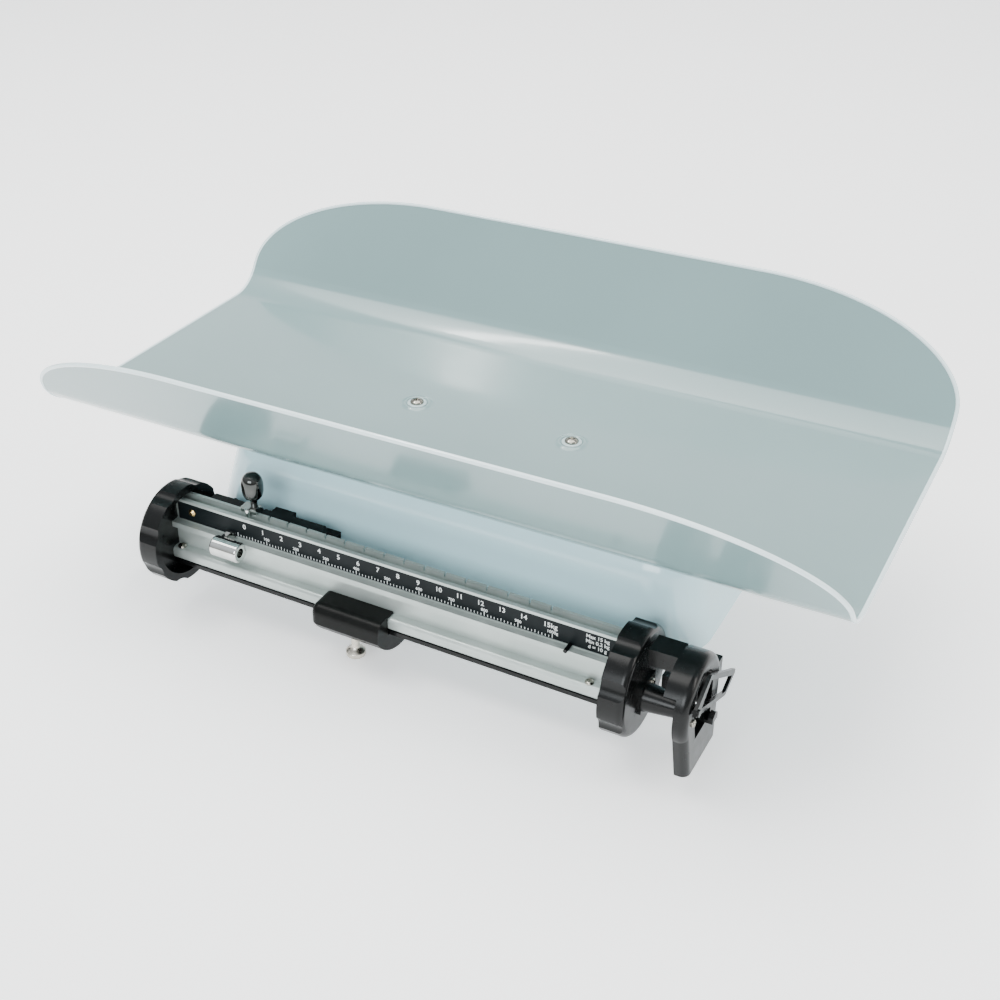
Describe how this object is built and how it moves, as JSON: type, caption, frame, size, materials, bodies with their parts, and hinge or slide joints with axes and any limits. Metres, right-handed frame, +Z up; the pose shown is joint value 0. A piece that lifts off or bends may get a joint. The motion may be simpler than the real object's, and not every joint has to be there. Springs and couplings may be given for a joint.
{
  "type": "mechanical infant beam scale",
  "caption": "Trough tray on a levelled platform over an enamelled housing, weighed by a front beam with sliding poises and a swing stop.",
  "frame": {"origin": "on the table under the middle of the whole scale", "axes": "+X right along the beam, +Y back, +Z up; the weighing beam is at the front, -Y"},
  "size_m": [0.55, 0.3122, 0.2005],
  "materials": {
    "tray_enamel": "gloss white enamel",
    "housing_enamel": "gloss pale enamel",
    "pan_paint": "gloss pale enamel",
    "foot_rubber": "matt black",
    "zinc": "zinc plated",
    "lever_iron": "painted grey",
    "knife_steel": "ground",
    "chrome": "polished",
    "aluminium": "satin anodised",
    "black_plastic": "gloss black",
    "black_paint": "black enamel",
    "label_black": "printed film",
    "brass": "polished",
    "nickel": "nickel plated"
  },
  "bodies": {
    "base": {"housing": "housing_enamel", "base_pan": "pan_paint", "cover_screws": "zinc", "rubber_feet": "foot_rubber", "foot_bolts": "zinc", "main_lever_stands": "zinc", "cross_lever_stands": "zinc", "fulcrum_bracket": "black_paint", "bracket_screws": "chrome", "swing_stop_frame": "black_paint", "stop_frame_screws": "chrome", "plate_screw": "chrome", "lock_pin": "chrome"},
    "platform": {"tray": "tray_enamel", "tray_screws": "chrome", "tray_washers": "zinc", "tray_carrier": "lever_iron", "tray_posts": "lever_iron", "load_bearings": "zinc"},
    "main_lever": {"main_lever": "lever_iron", "main_lever_knives": "knife_steel"},
    "cross_lever": {"cross_lever": "lever_iron", "cross_lever_knives": "knife_steel", "cross_lever_nose_knife": "knife_steel"},
    "draft_link": {"draft_link": "black_paint"},
    "beam": {"beam_extrusion": "aluminium", "beam_bottom_strip": "black_plastic", "scale_label": "label_black", "label_rivet": "brass", "beam_screws": "chrome", "stop_peg": "black_plastic", "left_cap": "black_plastic", "right_cap": "black_plastic", "beam_tip_arm": "black_paint", "cap_screw": "chrome", "pivot_block": "black_paint", "fulcrum_knife": "knife_steel", "load_knife": "knife_steel"},
    "main_poise": {"main_poise_saddle": "chrome", "main_poise_handle": "chrome"},
    "small_poise": {"small_poise": "chrome", "small_poise_pointer": "chrome"},
    "tare_poise": {"tare_poise": "black_paint"},
    "thumb_screw": {"thumb_screw": "nickel"},
    "lock_lever": {"lock_lever": "nickel"}
  },
  "joints": [
    {"name": "beam_tilt", "type": "hinge", "parent": "base", "child": "beam", "pos_m": [-0.114, -0.1, 0.068], "axis": [0, -1, 0], "range_deg": [0, 0.9]},
    {"name": "main_lever_tilt", "type": "hinge", "parent": "base", "child": "main_lever", "pos_m": [0, 0.045, 0.054], "axis": [1, 0, 0], "range_deg": [0, 0.161]},
    {"name": "cross_lever_tilt", "type": "hinge", "parent": "base", "child": "cross_lever", "pos_m": [0, -0.045, 0.054], "axis": [-1, 0, 0], "range_deg": [0, 0.161]},
    {"name": "draft_link_drop", "type": "slide", "parent": "base", "child": "draft_link", "axis": [0, 0, -1], "range_m": [0, 0.00041]},
    {"name": "platform_sink", "type": "slide", "parent": "base", "child": "platform", "axis": [0, 0, -1], "range_m": [0, 0.000057]},
    {"name": "main_poise_slide", "type": "slide", "parent": "beam", "child": "main_poise", "axis": [0.9999, 0, -0.0113], "range_m": [0, 0.21825]},
    {"name": "small_poise_slide", "type": "slide", "parent": "beam", "child": "small_poise", "axis": [0.9999, 0, -0.0113], "range_m": [0, 0.2286]},
    {"name": "tare_poise_slide", "type": "slide", "parent": "beam", "child": "tare_poise", "axis": [0.9999, 0, -0.0113], "range_m": [-0.1, 0.13]},
    {"name": "thumb_screw_turn", "type": "hinge", "parent": "tare_poise", "child": "thumb_screw", "pos_m": [-0.03405, -0.126, 0.01909], "axis": [0.0113, 0, 0.9999], "range_deg": [0, 360]},
    {"name": "lock_lever_turn", "type": "hinge", "parent": "base", "child": "lock_lever", "pos_m": [0.2043, -0.1465, 0.068], "axis": [1, 0, 0], "range_deg": [0, 35]}
  ],
  "couplings": [
    {"joint": "main_lever_tilt", "follows": "beam_tilt", "ratio": 0.17808},
    {"joint": "cross_lever_tilt", "follows": "beam_tilt", "ratio": 0.17808},
    {"joint": "draft_link_drop", "follows": "beam_tilt", "m_per_rad": 0.026},
    {"joint": "platform_sink", "follows": "beam_tilt", "m_per_rad": 0.0035616}
  ]
}
